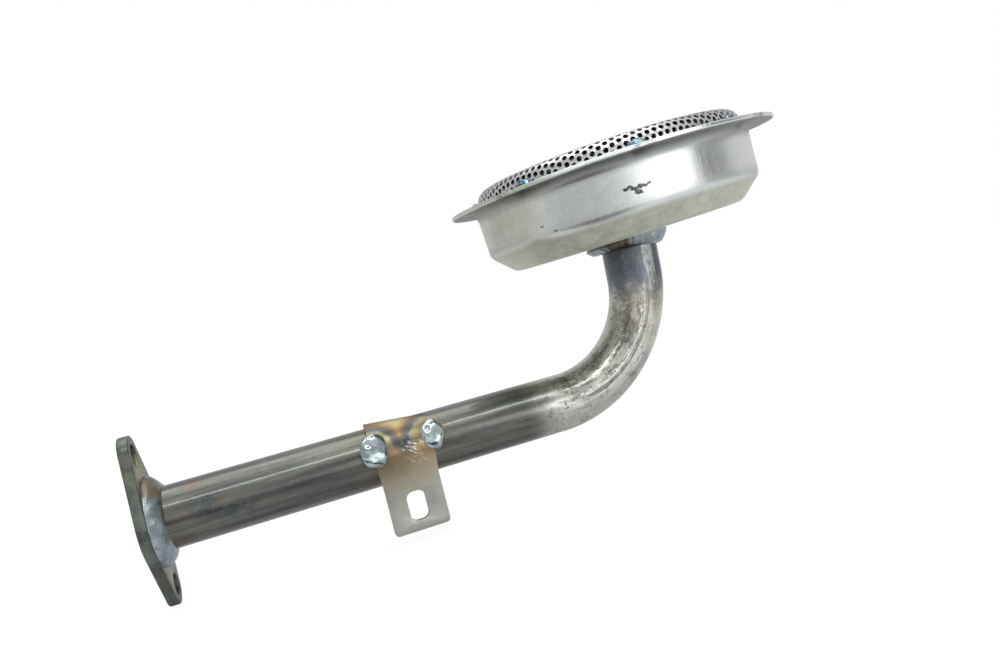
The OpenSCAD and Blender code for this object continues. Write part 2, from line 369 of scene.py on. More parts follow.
def rounded(points, radii, steps=7):
    """Points of an open line whose corners are rounded by arcs of the given radii."""
    points = [Vector(p) for p in points]
    line = [points[0]]
    for before, corner, after, radius in zip(points, points[1:], points[2:], radii):
        half = half_angle(corner, before, after)
        reach = radius / math.tan(half)
        centre = inset(corner, before, after, radius)
        start = corner + unit(before - corner) * reach - centre
        end = corner + unit(after - corner) * reach - centre
        sweep = start.angle_signed(end)
        for i in range(steps + 1):
            line.append(centre + Matrix.Rotation(-sweep * i / steps, 2) @ start)
    line.append(points[-1])
    return line


def neck_frame(distance):
    """Frame on the neck, with +Z along it, at a distance from the end of the bend."""
    s = sizes()
    turn = math.pi / 2 - s.bend_angle
    end = Vector((s.tube_run + s.bend_r * math.sin(s.bend_angle), 0,
                  s.bend_r * (1 - math.cos(s.bend_angle))))
    return (Matrix.Translation(end) @ Matrix.Rotation(turn, 4, "Y")
            @ Matrix.Translation((0, 0, distance)))


def cup_frame():
    """Frame at the underside of the cup, with +Z along its axis."""
    s = sizes()
    lean = math.pi / 2 - s.bend_angle + s.cup_tilt
    return (neck_frame(s.neck) @ Matrix.Rotation(-lean, 4, "Y")
            @ Matrix.Rotation(s.cup_lean, 4, "X"))


def lumps(point, size, seed):
    """Smooth random height from -1 to 1 for lumps of a given size."""
    return noise.noise(point / size + Vector((seed, 2 * seed, 3 * seed)))


# Finishes

class Finish:
    """One procedural metal finish, made node by node around a Principled shader."""

    def __init__(self, name, roughness, coat=0.0, coat_roughness=0.1):
        self.material = bpy.data.materials.new(name)
        self.material.use_nodes = True
        self.nodes, self.links = self.material.node_tree.nodes, self.material.node_tree.links
        self.shader = self.nodes["Principled BSDF"]
        self.colour = None
        for socket, value in (("Metallic", 1.0), ("Roughness", roughness), ("Coat Weight", coat),
                              ("Coat Roughness", coat_roughness)):
            self.shader.inputs[socket].default_value = value

    def put(self, value, socket):
        """Links a socket to another, or sets it to a plain value."""
        if isinstance(value, bpy.types.NodeSocket):
            self.links.new(value, socket)
        elif socket.type == "RGBA":
            socket.default_value = (*value, 1)
        else:
            socket.default_value = value

    def node(self, kind, output, inputs, **settings):
        """Adds a node with its settings and inputs, and returns one of its outputs."""
        added = self.nodes.new("ShaderNode" + kind)
        for key, value in settings.items():
            setattr(added, key, value)
        for key, value in inputs.items():
            self.put(value, added.inputs[key])
        return added.outputs[output]

    def place(self, attribute=None):
        """Object coordinates, or a vector attribute of the piece."""
        if attribute:
            return self.node("Attribute", "Vector", {}, attribute_name=attribute)
        return self.node("TexCoord", "Object", {})

    def place_value(self, attribute):
        """Number attribute of the piece."""
        return self.node("Attribute", "Fac", {}, attribute_name=attribute)

    def local(self, vector, frame):
        """The same place in the coordinates of a frame."""
        back = frame.inverted()
        return self.mapped(vector, move=back.translation, turn=back.to_euler("XYZ"))

    def mapped(self, vector, move=(0, 0, 0), turn=(0, 0, 0), stretch=(1, 1, 1)):
        return self.node("Mapping", "Vector", {"Vector": vector, "Location": move,
                                               "Rotation": turn, "Scale": stretch})

    def noise(self, vector, grain, detail=4.0, roughness=0.55, distortion=0.0):
        """Noise whose lumps are about the given size in metres."""
        return self.node("TexNoise", "Fac", {
            "Vector": vector, "Scale": 1 / grain, "Detail": detail, "Roughness": roughness,
            "Distortion": distortion})

    def axis(self, vector, name):
        return self.node("SeparateXYZ", name, {0: vector})

    def math(self, operation, a, b=0.0):
        return self.node("Math", 0, {0: a, 1: b}, operation=operation)

    def distance(self, vector, point):
        return self.node("VectorMath", "Value", {0: vector, 1: point}, operation="DISTANCE")

    def step(self, value, low, high, start=0.0, end=1.0):
        """Smooth step from start to end as the value goes from low to high."""
        return self.node("MapRange", "Result", {
            "Value": value, "From Min": low, "From Max": high, "To Min": start, "To Max": end},
            interpolation_type="SMOOTHSTEP")

    def fall(self, value, low, high):
        """1 up to low, falling to 0 at high."""
        return self.step(value, low, high, 1.0, 0.0)

    def spot(self, vector, point, stretch, low, high):
        """1 within low of a point in millimetres, falling to 0 at high, on stretched coordinates."""
        point = [part * share * MM for part, share in zip(point, stretch)]
        return self.fall(self.distance(self.mapped(vector, stretch=stretch), point), low, high)

    def band(self, value, low, high, soft):
        """1 between low and high, fading to 0 over soft on both sides."""
        return self.times(self.step(value, low - soft, low), self.fall(value, high, high + soft))

    def times(self, *values):
        result = values[0]
        for value in values[1:]:
            result = self.math("MULTIPLY", result, value)
        return result

    def ramp(self, value, stops):
        node = self.nodes.new("ShaderNodeValToRGB")
        self.put(value, node.inputs["Fac"])
        marks = node.color_ramp.elements
        while len(marks) < len(stops):
            marks.new(0.5)
        for mark, (place, colour) in zip(marks, stops):
            mark.position = place
            mark.color = (*colour, 1)
        return node.outputs["Color"]

    def mix(self, amount, under, over):
        return self.node("Mix", 2, {0: amount, 6: under, 7: over}, data_type="RGBA")

    def lay(self, tone, *shares):
        """Lays a tone over the colour so far, as much as the product of the shares."""
        self.colour = self.mix(self.times(*shares), self.colour, tone)

    def bump(self, height, distance, strength):
        return self.node("Bump", "Normal", {"Strength": strength, "Distance": distance, "Height": height})

    def done(self, roughness, normal):
        for socket, value in (("Base Color", self.colour), ("Roughness", roughness), ("Normal", normal)):
            self.put(value, self.shader.inputs[socket])
        return self.material


def scaled(colour, amount):
    return tuple(channel * amount for channel in colour)


# Stains near the flange: place on the straight tube and reach in millimetres, colour and its strength
STAINS = (((20, -1, -9.5), 5.5, "blue", 0.3), ((27.5, 2, -9.2), 5, "blue", 0.3),
          ((11.5, 0, -9.5), 2.6, "rust", 1), ((24.5, -2, -9.3), 3, "rust", 1),
          ((11, 5.6, -7.7), 4, "rust", 0.7), ((18, -8, -5), 5, "rust", 0.7))


def tube_finish():
    """Drawn tube: dark mill finish, worn bend with a painted highlight streak, heat tint at both welds, a few
    rust spots.
    """
    s, c = sizes(), colours()
    bend = s.tube_run
    f = Finish("drawn tube", 0.4, coat=0.6, coat_roughness=0.11)
    straight = f.place("straight")
    along = f.axis(straight, "X")
    outward = f.axis(straight, "Y")
    streaks = f.noise(f.mapped(straight, stretch=(0.06, 1, 1)), 2.2 * MM, 5, 0.6)
    clouds = f.noise(straight, 9 * MM, 5, 0.6, 0.4)
    specks = f.noise(straight, 1.1 * MM, 3, 0.6)
    f.colour = f.mix(f.step(streaks, 0.34, 0.68), c.mill_dark, c.mill)
    f.lay(scaled(c.mill, 1.3), f.step(clouds, 0.5, 0.78), 0.4)
    f.lay(scaled(c.mill_dark, 0.7), f.step(specks, 0.6, 0.7), 0.35)
    # Bend, rubbed by the die, with a painted highlight streak along its outer third
    worn = f.band(along, bend - 1 * MM, bend + 47 * MM, 14 * MM)
    f.lay(c.bend_bare, worn, f.step(clouds, 0.2, 0.55), 0.9)
    rubbed = f.noise(f.mapped(straight, stretch=(0.13, 1, 1)), 2.6 * MM, 6, 0.74)
    patches = f.noise(f.mapped(straight, move=(0.02, 0, 0)), 4.5 * MM, 5, 0.65, 0.5)
    speckled = f.noise(f.mapped(straight, stretch=(0.45, 1, 1)), 0.9 * MM, 4, 0.7)
    inner_strip = f.times(f.band(along, bend + 1 * MM, bend + 45 * MM, 8 * MM),
                          f.band(outward, -8 * MM, -1.5 * MM, 2 * MM))
    die_line = f.times(f.band(along, bend + 9 * MM, bend + 51 * MM, 6 * MM),
                       f.band(outward, -0.4 * MM, 0.7 * MM, 0.5 * MM))
    scuffs = f.math("MAXIMUM", f.times(inner_strip, f.step(rubbed, 0.38, 0.54), f.step(speckled, 0.36, 0.52)),
                    f.times(die_line, f.step(rubbed, 0.36, 0.52)))
    # Pale streak along the bend's outer third: partly rubbed metal, partly a painted highlight
    rubbed_and_highlight = f.times(f.band(along, bend + 3 * MM, bend + 77 * MM, 8 * MM),
                      f.band(outward, 1 * MM, 3.4 * MM, 1.6 * MM), f.step(rubbed, 0.38, 0.56),
                      f.step(speckled, 0.38, 0.5, 0.4, 1.0))
    f.lay(c.bright, rubbed_and_highlight, 0.9)
    pits = f.times(worn, f.step(specks, 0.55, 0.64), f.step(patches, 0.4, 0.56))
    f.lay(c.scuff, scuffs, 0.72)
    f.lay(c.scuff, pits, 0.62)
    # Neck, tinted by the heat of the cup's weld
    wander = f.math("ADD", along, f.times(f.math("SUBTRACT", clouds, 0.5), 12 * MM))
    neck_blue = f.times(f.band(wander, bend + 57 * MM, bend + 60 * MM, 4 * MM), f.step(clouds, 0.3, 0.6))
    neck_brown = f.band(wander, bend + 50 * MM, bend + 54 * MM, 4 * MM)
    neck_straw = f.band(wander, bend + 39 * MM, bend + 47 * MM, 8 * MM)
    f.lay(c.straw, neck_straw, 0.2)
    neck_dark = f.times(f.step(wander, bend + 47 * MM, bend + 57 * MM),
                        f.step(patches, 0.36, 0.56, 0.3, 0.95))
    neck_tone = f.mix(f.step(speckled, 0.4, 0.6), scaled(c.mill_dark, 0.9), scaled(c.blue, 0.75))
    f.lay(neck_tone, neck_dark)
    f.lay(c.purple, neck_brown, f.step(patches, 0.4, 0.6), 0.5)
    f.lay(c.blue, neck_blue, 0.65)
    # The painted highlight streak, carried on up the neck
    f.lay(c.bright, rubbed_and_highlight, f.step(along, bend + 47 * MM, bend + 57 * MM), 0.6)
    # Flange end, with rust and stains
    flange_red = f.times(f.band(wander, 5 * MM, 9 * MM, 4 * MM), f.step(clouds, 0.35, 0.7))
    f.lay(scaled(c.rust, 0.7), flange_red, 0.5)
    blotch = f.noise(f.mapped(straight, move=(0.013, 0, 0)), 3 * MM, 5, 0.65, 0.5)
    rust = f.times(f.band(along, 12 * MM, 60 * MM, 14 * MM), f.step(blotch, 0.58, 0.7))
    f.lay(c.rust, rust, 0.5)
    for spot, reach, tone, amount in STAINS:
        patch = f.spot(straight, spot, (0.7, 1, 1), 0.2 * reach * MM, reach * MM)
        f.lay(scaled(getattr(c, tone), amount), patch, f.step(blotch, 0.38, 0.6), 0.65)
    near_strap = f.times(f.band(along, s.bracket_at - 13.6 * MM, s.bracket_at + 13.4 * MM, 4 * MM),
                         f.step(clouds, 0.3, 0.65))
    f.lay(scaled(c.brown, 0.6), near_strap, 0.35)
    gloss = f.math("ADD", f.step(clouds, 0.2, 0.8, 0.32, 0.46), f.times(scuffs, 0.15))
    gloss = f.math("SUBTRACT", gloss, f.times(worn, 0.1))
    relief = f.math("ADD", f.times(streaks, 0.5), f.times(scuffs, -0.6))
    return f.done(gloss, f.bump(relief, 0.00008, 0.6))


def plate_finish():
    """Flange plate: dark rolled plate, a little straw at the top of the weld."""
    c = colours()
    f = Finish("flange plate", 0.42, coat=0.15, coat_roughness=0.2)
    at = f.place()
    clouds = f.noise(at, 5 * MM, 5, 0.6, 0.3)
    grain = f.noise(at, 1.2 * MM, 3, 0.6)
    f.colour = f.mix(f.step(clouds, 0.3, 0.72), scaled(c.plate, 0.55), scaled(c.plate, 1.1))
    f.lay(scaled(c.plate, 1.6), f.step(grain, 0.58, 0.75), 0.35)
    scratch = f.noise(f.mapped(at, stretch=(1, 1, 0.1)), 0.6 * MM, 3, 0.6)
    f.lay(scaled(c.plate, 1.5), f.step(scratch, 0.6, 0.72), 0.35)
    heated = f.fall(f.distance(at, (3.2 * MM, -4 * MM, 15 * MM)), 3 * MM, 10 * MM)
    f.lay(c.straw, heated, f.step(clouds, 0.25, 0.6), 0.7)
    low = f.fall(f.distance(at, (3 * MM, -4 * MM, -16 * MM)), 2 * MM, 7 * MM)
    f.lay(scaled(c.rust, 0.8), low, f.step(clouds, 0.3, 0.6), 0.5)
    gloss = f.step(clouds, 0.2, 0.8, 0.34, 0.52)
    return f.done(gloss, f.bump(grain, 0.00006, 0.6))


def bead_finish(name, seed, patch, patch_at, patch_reach):
    """Weld bead: rippled and blue-grey, with a dark patch at one place: a heat stain on the flange bead,
    painted shade on the cup bead.
    """
    c = colours()
    f = Finish(name, 0.38)
    at = f.place()
    clouds = f.noise(f.mapped(at, move=(seed, 0, 0)), 4 * MM, 4, 0.6, 0.5)
    grain = f.noise(at, 0.8 * MM, 3, 0.6)
    f.colour = f.mix(f.step(clouds, 0.35, 0.65), scaled(c.bead, 0.66), c.bead)
    f.lay(scaled(c.bead, 0.4), f.step(grain, 0.54, 0.68), 0.5)
    pale = f.noise(f.mapped(at, move=(0, seed, 0), stretch=(1, 0.6, 0.35)), 1.6 * MM, 4, 0.65)
    f.lay(scaled(c.bead, 1.5), f.step(pale, 0.54, 0.66), 0.6)
    # Dark patch: a heat stain on the flange bead and painted shade on the cup bead
    near = f.fall(f.distance(at, patch_at), 0.4 * patch_reach, patch_reach)
    f.lay(patch, near, f.step(clouds, 0.1, 0.5), 0.85)
    gloss = f.step(clouds, 0.2, 0.8, 0.26, 0.42)
    return f.done(gloss, f.bump(grain, 0.00025, 0.7))


def nugget_centre(side):
    """Middle of a nugget on the left (-1) or right (1) edge of the strap."""
    s = sizes()
    out = s.tube_r + SLIP_FIT + s.strip
    return Vector((s.bracket_at + side * s.strap_width / 2, -out * math.cos(NUGGET_LIFT),
                   out * math.sin(NUGGET_LIFT)))


def bracket_finish():
    """Bracket sheet: plain satin tab, straw to blue heat tint around the nuggets."""
    s, c = sizes(), colours()
    f = Finish("bracket sheet", 0.34)
    at = f.place()
    clouds = f.noise(at, 5 * MM, 4, 0.55, 0.4)
    grain = f.noise(at, 0.6 * MM, 3, 0.6)
    near = f.math("MINIMUM", f.distance(at, nugget_centre(-1)), f.distance(at, nugget_centre(1)))
    near = f.math("ADD", near, f.times(f.math("SUBTRACT", clouds, 0.5), 3 * MM))
    height = f.math("ADD", f.axis(at, "Z"), f.times(f.math("SUBTRACT", clouds, 0.5), 3 * MM))
    f.colour = f.mix(f.step(clouds, 0.3, 0.7), scaled(c.sheet, 0.92), scaled(c.sheet, 1.04))
    f.lay(scaled(c.sheet, 0.75), f.step(grain, 0.55, 0.75), 0.25)
    f.lay(scaled(c.straw, 0.95), f.step(height, -14 * MM, -5 * MM, 0.0, 0.55))
    f.lay(scaled(c.brown, 0.95), f.step(height, -8 * MM, 0.5 * MM, 0.0, 0.7))
    ring = f.ramp(f.math("DIVIDE", near, 14 * MM), [
        (0.3, scaled(c.brown, 0.9)), (0.38, c.olive), (0.45, scaled(c.olive, 0.85)),
        (0.52, scaled(c.blue, 0.55)), (0.62, scaled(c.purple, 0.7)), (0.7, scaled(c.brown, 0.75)),
        (0.8, scaled(c.straw, 0.75)), (1.0, scaled(c.straw, 0.85))])
    f.lay(ring, f.step(height, 1 * MM, 4.5 * MM, 0.0, 0.85))
    halo = f.times(f.fall(near, 4.8 * MM, 7 * MM), f.step(clouds, 0.2, 0.55))
    f.lay(scaled(c.brown, 0.85), halo, 0.6)
    spot = f.fall(f.distance(at, (s.bracket_at + 0.9 * MM, -10.8 * MM, 2.8 * MM)), 1 * MM, 4 * MM)
    f.lay(scaled(c.blue, 0.5), spot, 0.75)
    lines = f.noise(f.mapped(f.mapped(at, turn=(0, -0.6, 0)), stretch=(0.2, 1, 1)), 0.6 * MM, 2, 0.5)
    worked = f.fall(f.distance(at, (s.bracket_at + 3.4 * MM, -11.2 * MM, 0.5 * MM)), 2 * MM, 6 * MM)
    scratched = f.times(worked, f.step(lines, 0.57, 0.64))
    f.lay(c.bright, scratched, 0.65)
    f.lay(scaled(c.scuff, 1.2), f.place_value("sheared"), 0.8)
    gloss = f.step(clouds, 0.2, 0.8, 0.3, 0.4)
    return f.done(gloss, f.bump(grain, 0.00003, 0.5))


def nugget_finish():
    """Weld nuggets: bright, silvery blue, with a dark rim and hollows."""
    c = colours()
    f = Finish("weld nugget", 0.16)
    at = f.place()
    clouds = f.noise(at, 3.4 * MM, 2, 0.5, 0.6)
    near = f.math("MINIMUM", f.distance(at, nugget_centre(-1)), f.distance(at, nugget_centre(1)))
    f.colour = f.mix(f.step(clouds, 0.34, 0.6), scaled(c.nugget, 0.68), scaled(c.nugget, 1.08))
    rim = f.step(near, 0.8 * sizes().nugget_r, 1.1 * sizes().nugget_r)
    f.lay(scaled(c.bead, 0.3), rim, 0.6)
    return f.done(f.step(clouds, 0.2, 0.8, 0.12, 0.22), f.bump(clouds, 0.0002, 0.3))


# Dark smudge on the cup, in millimetres: its middle in the cup's frame, the way along the wall there, the
# stretch of its strokes, and each stroke's place along and up the wall and its reach
SMUDGE_AT, SMUDGE_ALONG = Vector((-14, -45.2, 13)), Vector((0.955, -0.297, 0))
SMUDGE_STRETCH = (0.55, 0.55, 1.2)
SMUDGE = ((-3.3, 0.5, 0.75), (-2.0, 0.9, 0.7), (-0.9, 0.1, 0.9), (0.6, 0.3, 0.95), (2.0, 0.2, 0.85),
          (3.3, 0.5, 0.55), (0.3, -1.3, 0.8), (-0.3, -0.7, 0.7))

# Small nicks in the cup's wall, in millimetres in the cup's frame
NICKS = ((-38.6, -27.4, 11), (-36, -30.6, 8.6))


def cup_marks(f, at, height, clouds, gloss):
    """Lays the cup's dull base, painted shade on its left flank and under the brim, a draw line that is
    partly painted reflection, smudge, nicks and burnt rim, and returns its roughness.
    """
    s, c = sizes(), colours()
    mottle = f.noise(at, 4 * MM, 5, 0.65, 0.4)
    low = f.fall(height, s.chamfer - 1.5 * MM, s.chamfer + 0.5 * MM)
    dull = f.mix(f.step(mottle, 0.3, 0.7), scaled(c.frost, 0.78), scaled(c.frost, 1.06))
    f.lay(dull, low, 0.9)
    gloss = f.math("ADD", gloss, f.times(low, 0.25))
    # Painted shade: the wall laid darker and duller towards its left flank, at -X
    flank = f.fall(f.axis(at, "X"), -43 * MM, -33 * MM)
    f.lay(scaled(c.frost, 0.92), flank, f.step(mottle, 0.25, 0.6, 0.5, 0.9))
    # Dark band just above the chamfer: a draw line, partly a painted reflection of dark ground in front
    draw = f.band(height, s.chamfer, s.chamfer + 1.5 * MM, 2.5 * MM)
    f.lay(scaled(c.bright, 0.5), draw, f.step(clouds, 0.25, 0.55), 0.35)
    # Painted shade under the brim: the upper wall and fillet laid darker, the brim's rim left bright
    radial = f.distance(f.mapped(at, stretch=(1, 1, 0)), (0, 0, 0))
    under = f.times(f.step(height, s.cup_depth - 6 * MM, s.cup_depth - 1.4 * MM),
                    f.fall(height, s.cup_depth - 0.8 * MM, s.cup_depth - 0.4 * MM),
                    f.fall(radial, s.brim_r - 0.6 * MM, s.brim_r - 0.2 * MM))
    f.lay(scaled(c.bright, 0.2), under, 0.85)
    gloss = f.math("ADD", gloss, f.math("ADD", f.times(under, 0.24), f.times(draw, 0.1)))
    rub = f.times(f.math("SUBTRACT", f.noise(at, 1.1 * MM, 4, 0.7), 0.5), 2.2 * MM)
    squashed = f.mapped(at, stretch=SMUDGE_STRETCH)
    smudge = None
    for across, up, reach in SMUDGE:
        mark = (SMUDGE_AT + SMUDGE_ALONG * across + Vector((0, 0, up))) * Vector(SMUDGE_STRETCH) * MM
        stroke = f.fall(f.math("ADD", rub, f.distance(squashed, mark)), 0.5 * reach * MM, reach * MM)
        smudge = stroke if smudge is None else f.math("MAXIMUM", smudge, stroke)
    f.lay(scaled(c.bright, 0.05), smudge, 0.92)
    for nick in NICKS:
        f.lay(scaled(c.bright, 0.06), f.spot(at, nick, (0.4, 0.4, 1), 0.12 * MM, 0.42 * MM), 0.8)
    around = f.math("SUBTRACT", f.math("ARCTAN2", f.axis(at, "Y"), f.axis(at, "X")), s.tack_turn)
    tacked = f.math("COSINE", f.times(around, float(s.tack_count)))
    burnt = f.times(f.step(tacked, 0.78, 1.0), f.step(height, s.cup_depth - 4 * MM, s.cup_depth - 1 * MM),
                    f.step(mottle, 0.34, 0.62))
    f.lay(scaled(c.purple, 0.5), burnt, 0.7)
    return gloss


def sheet_finish(name, cup):
    """Bright pressed sheet with fine scratches, painted shade on its inside, and the marks of the cup."""
    s, c = sizes(), colours()
    f = Finish(name, 0.2)
    at = f.local(f.place(), cup_frame())
    clouds = f.noise(at, 14 * MM, 4, 0.55, 0.3)
    scratch = f.noise(f.mapped(at, stretch=(1, 1, 0.05)), 0.9 * MM, 4, 0.7)
    smear = f.noise(f.mapped(at, stretch=(0.12, 0.12, 1)), 1.6 * MM, 3, 0.6)
    tone = c.bright if cup else scaled(c.bright, 0.72)
    f.colour = f.mix(f.step(clouds, 0.3, 0.7), scaled(tone, 0.93), tone)
    f.lay(scaled(c.bright, 0.6), f.step(scratch, 0.6, 0.75), 0.22)
    f.lay(scaled(c.bright, 0.68), f.step(smear, 0.58, 0.8), 0.2)
    gloss = f.math("ADD", f.step(clouds, 0.2, 0.8, 0.2, 0.28), f.times(f.step(scratch, 0.4, 0.7), 0.06))
    inside = f.place_value("inside")
    if not cup:
        gloss = f.math("ADD", gloss, 0.1)
    else:
        height = f.axis(at, "Z")
        gloss = cup_marks(f, at, height, clouds, gloss)
        inside = f.times(inside, f.fall(height, s.cup_depth - 4.5 * MM, s.cup_depth - 1.4 * MM))
    # Painted shade: the inside of cup and screen laid dark; on the cup only below its mouth
    f.lay(c.inside_shade, inside)
    gloss = f.math("ADD", gloss, f.times(inside, 0.35))
    relief = f.math("ADD", f.times(scratch, 0.4), clouds)
    return f.done(gloss, f.bump(relief, 0.0002, 0.3))


def tack_finish():
    """Tack welds: blue and cyan with straw ends."""
    c = colours()
    f = Finish("tack weld", 0.24)
    at = f.place()
    clouds = f.noise(at, 2.4 * MM, 3, 0.55, 0.5)
    f.colour = f.ramp(clouds, [(0.3, scaled(c.blue, 0.5)), (0.42, c.blue), (0.5, c.cyan),
                               (0.58, scaled(c.bead, 1.2)), (0.68, c.straw)])
    return f.done(f.step(clouds, 0.3, 0.7, 0.18, 0.34), f.bump(clouds, 0.0002, 0.6))


# Pieces

class PICKUP_OT_flange(bpy.types.Operator):
    """Two-hole flange plate with softened edges"""
    bl_idname = "pickup.flange"
    bl_label = "Flange"

    def execute(self, context):
        s = sizes()
        half = s.bolt_spacing / 2
        slant = math.asin((s.flange_middle_r - s.flange_end_r) / half)
        line = []
        for i in range(FLANGE_SIDE_STEPS + 1):
            angle = -slant + 2 * slant * i / FLANGE_SIDE_STEPS
            line.append((s.flange_middle_r * math.cos(angle), s.flange_middle_r * math.sin(angle)))
        for i in range(FLANGE_END_STEPS + 1):
            angle = slant + (math.pi - 2 * slant) * i / FLANGE_END_STEPS
            line.append((s.flange_end_r * math.cos(angle), half + s.flange_end_r * math.sin(angle)))
        outline = line + [(-x, -y) for x, y in line]
        plate = draw_line("flange_plate", outline + [outline[0]])
        merge(LINE_DOUBLES)
        select_mesh()
        bpy.ops.mesh.edge_face_add()
        extrude((0, s.plate, 0))
        clean_up()
        object_mode()
        turn = Matrix.Rotation(s.flange_turn, 4, "X")
        apply_place(plate, turn @ SWAP_XY)
        edit_mode()
        clean_up()
        object_mode()
        for height, radius in ((0, s.tube_r + SLIP_FIT), (half, s.bolt_hole_r), (-half, s.bolt_hole_r)):
            deselect()
            bpy.ops.mesh.primitive_cylinder_add(vertices=HOLE_STEPS, radius=radius, depth=20 * MM,
                                                location=turn @ Vector((0, 0, height)),
                                                rotation=(0, math.pi / 2, 0))
            cut(plate, made("flange_hole"))
        bevel(plate, FLANGE_EDGE, 3, 40)
        finish_piece(plate, ["mounting_flange"], plate_finish())
        return {"FINISHED"}


class PICKUP_OT_tube(bpy.types.Operator):
    """Bent tube, open at both ends"""
    bl_idname = "pickup.tube"
    bl_label = "Tube"

    def execute(self, context):
        s = sizes()
        deselect()
        bpy.ops.mesh.primitive_circle_add(vertices=TUBE_STEPS, radius=s.tube_r, rotation=(0, math.pi / 2, 0))
        tube = made("suction_tube")
        apply_place(tube)
        edit_mode()
        select_mesh()
        for _ in range(RUN_STEPS):
            extrude((s.tube_run / RUN_STEPS, 0, 0))
        bpy.ops.mesh.spin(steps=BEND_STEPS, angle=s.bend_angle, center=(s.tube_run, 0, s.bend_r),
                          axis=(0, 1, 0))
        way = Vector((math.cos(s.bend_angle), 0, math.sin(s.bend_angle)))
        for _ in range(NECK_STEPS):
            extrude(way * ((s.neck + s.tube_stand) / NECK_STEPS))
        clean_up()
        object_mode()
        modify(tube, "SOLIDIFY", thickness=s.tube_wall, offset=-1, use_even_offset=True)
        bevel(tube, TUBE_EDGE, 2, 50)
        self.straighten(tube)
        self.flatten(tube)
        finish_piece(tube, ["pickup_tube"], tube_finish())
        return {"FINISHED"}

    def flatten(self, tube):
        """Presses the bend a little oval, as a bent tube is."""
        s = sizes()
        centre = Vector((s.tube_run, 0, s.bend_r))
        for point in tube.data.vertices:
            across, up = point.co.x - centre.x, point.co.z - centre.z
            angle = math.atan2(across, -up)
            if across > 0 and 0 < angle < s.bend_angle:
                out = Vector((math.sin(angle), 0, -math.cos(angle)))
                off = math.hypot(across, up) - s.bend_r
                point.co -= out * off * BEND_OVAL * math.sin(math.pi * angle / s.bend_angle)

    def straighten(self, tube):
        """Stores where each point would lie on the straight tube, for marks that follow the bend."""
        s = sizes()
        attribute = tube.data.attributes.new("straight", "FLOAT_VECTOR", "POINT")
        for point, value in zip(tube.data.vertices, attribute.data):
            x, y, z = point.co
            across, up = x - s.tube_run, z - s.bend_r
            angle = min(max(math.atan2(across, -up), 0), s.bend_angle)
            out = Vector((math.sin(angle), -math.cos(angle)))
            on = Vector((math.cos(angle), math.sin(angle)))
            if across <= 0:
                value.vector = (x, -z, y)
            else:
                past = max(Vector((across, up)).dot(on), 0) if angle == s.bend_angle else 0
                value.vector = (s.tube_run + s.bend_r * angle + past,
                                Vector((across, up)).dot(out) - s.bend_r, y)


def bead_section(inner, leg, steps=9):
    """Section of a domed fillet, from (inner, 0) along the tube and out along the plate."""
    back = 0.35 * leg
    radius = math.hypot(leg + back, back)
    first = math.asin(back / radius)
    points = [(inner, 0)]
    for i in range(steps + 1):
        angle = first + (math.pi / 2 - 2 * first) * i / steps
        points.append((inner - back + radius * math.cos(angle), -back + radius * math.sin(angle)))
    return points


def swell_bead(point, inner, side, swell, outward, upward):
    """Moves a point of a bead, which lies above (1) or below (-1) its plate, by a swell of its open face."""
    out = math.hypot(point.co.x, point.co.y) - inner
    share = min(max(out / BEAD_OUT, 0), 1) * min(max(side * point.co.z / BEAD_UP, 0), 1)
    point.co += Vector((point.co.x, point.co.y, 0)).normalized() * swell * share * outward
    point.co.z += side * swell * share * upward


class PICKUP_OT_flange_weld(bpy.types.Operator):
    """Soft weld bead between flange and tube"""
    bl_idname = "pickup.flange_weld"
    bl_label = "Flange weld"

    def execute(self, context):
        s = sizes()
        inner = s.tube_r + WELD_FIT
        bead = turn_section("flange_bead", bead_section(inner, s.weld_leg), FLANGE_BEAD_STEPS)
        for point in bead.data.vertices:
            swell = 0.6 * lumps(point.co, 8 * MM, 3) + 0.3 * lumps(point.co, 2.5 * MM, 5)
            swell_bead(point, inner, 1, swell, 0.8 * MM, 0.6 * MM)
        apply_place(bead, Matrix.Translation((s.plate + WELD_FIT, 0, 0))
                    @ Matrix.Rotation(math.pi / 2, 4, "Y"))
        finish = bead_finish("flange bead", 0.0, scaled(colours().brown, 0.55),
                             (6 * MM, -6 * MM, 12 * MM), 8 * MM)
        finish_piece(bead, ["flange_weld"], finish, 60)
        return {"FINISHED"}


